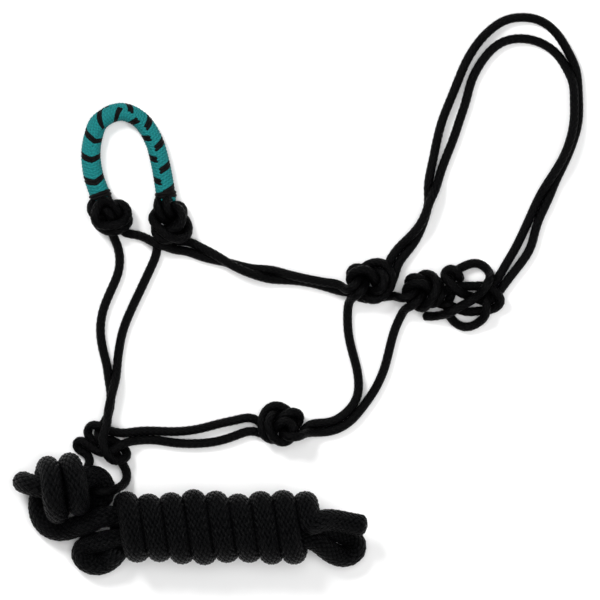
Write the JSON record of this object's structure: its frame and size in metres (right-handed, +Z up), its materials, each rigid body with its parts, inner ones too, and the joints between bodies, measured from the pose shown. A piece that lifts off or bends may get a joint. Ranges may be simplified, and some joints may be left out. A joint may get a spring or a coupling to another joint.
{
  "type": "rope halter",
  "caption": "Knotted rope halter laid flat, with a braided noseband cover, a tied crown and a wrapped lead rope hitched to the loop below the chin knot.",
  "frame": {"origin": "middle of the laid-out halter's bounding box, on the ground plane", "axes": "+X towards the tied side of the crown, +Y towards the crown and noseband, +Z up out of the laid-out plane"},
  "size_m": [0.4282, 0.4198, 0.049],
  "materials": {
    "halter_rope": "matte braided polyester",
    "noseband_cover": "braided cord, matte",
    "lead_rope": "braided polyester, slight sheen"
  },
  "bodies": {
    "halter": {"cheek_knot_left_a": "halter_rope", "cheek_knot_left_b": "halter_rope", "cheek_knot_right_a": "halter_rope", "cheek_knot_right_b": "halter_rope", "cheek_rope_left": "halter_rope", "cheek_rope_right": "halter_rope", "chin_rope_left": "halter_rope", "chin_rope_right": "halter_rope", "crown_tie_inner": "halter_rope", "crown_tie_outer": "halter_rope", "fiador_knot_a": "halter_rope", "fiador_knot_b": "halter_rope", "fiador_knot_c": "halter_rope", "fiador_loop": "halter_rope", "jaw_rope_left": "halter_rope", "jaw_rope_right": "halter_rope", "nose_knot_left_a": "halter_rope", "nose_knot_left_b": "halter_rope", "nose_knot_right_a": "halter_rope", "nose_knot_right_b": "halter_rope", "throat_knot_a": "halter_rope", "throat_knot_b": "halter_rope", "throat_rope_left": "halter_rope", "throat_rope_right": "halter_rope", "tie_loop": "halter_rope"},
    "noseband": {"noseband_cover": "noseband_cover", "noseband_core_a": "halter_rope", "noseband_core_b": "halter_rope"},
    "crown": {"crown_rope_inner": "halter_rope", "crown_rope_outer": "halter_rope"},
    "lead": {"lead_bight_far": "lead_rope", "lead_bight_near": "lead_rope", "lead_end": "lead_rope", "lead_hank": "lead_rope", "lead_hitch": "lead_rope"}
  },
  "joints": [
    {"name": "noseband_fold", "type": "hinge", "parent": "halter", "child": "noseband", "pos_m": [-0.1262, 0.0775, 0.0155], "axis": [1, 0, 0], "range_deg": [0, 90]},
    {"name": "crown_fold", "type": "hinge", "parent": "halter", "child": "crown", "pos_m": [0.0683, 0.0222, 0.009], "axis": [0.9972, -0.0746, 0], "range_deg": [0, 90]},
    {"name": "lead_swing", "type": "hinge", "parent": "halter", "child": "lead", "pos_m": [-0.148, -0.142, 0], "axis": [0, 0, 1], "range_deg": [-3, 3]}
  ]
}
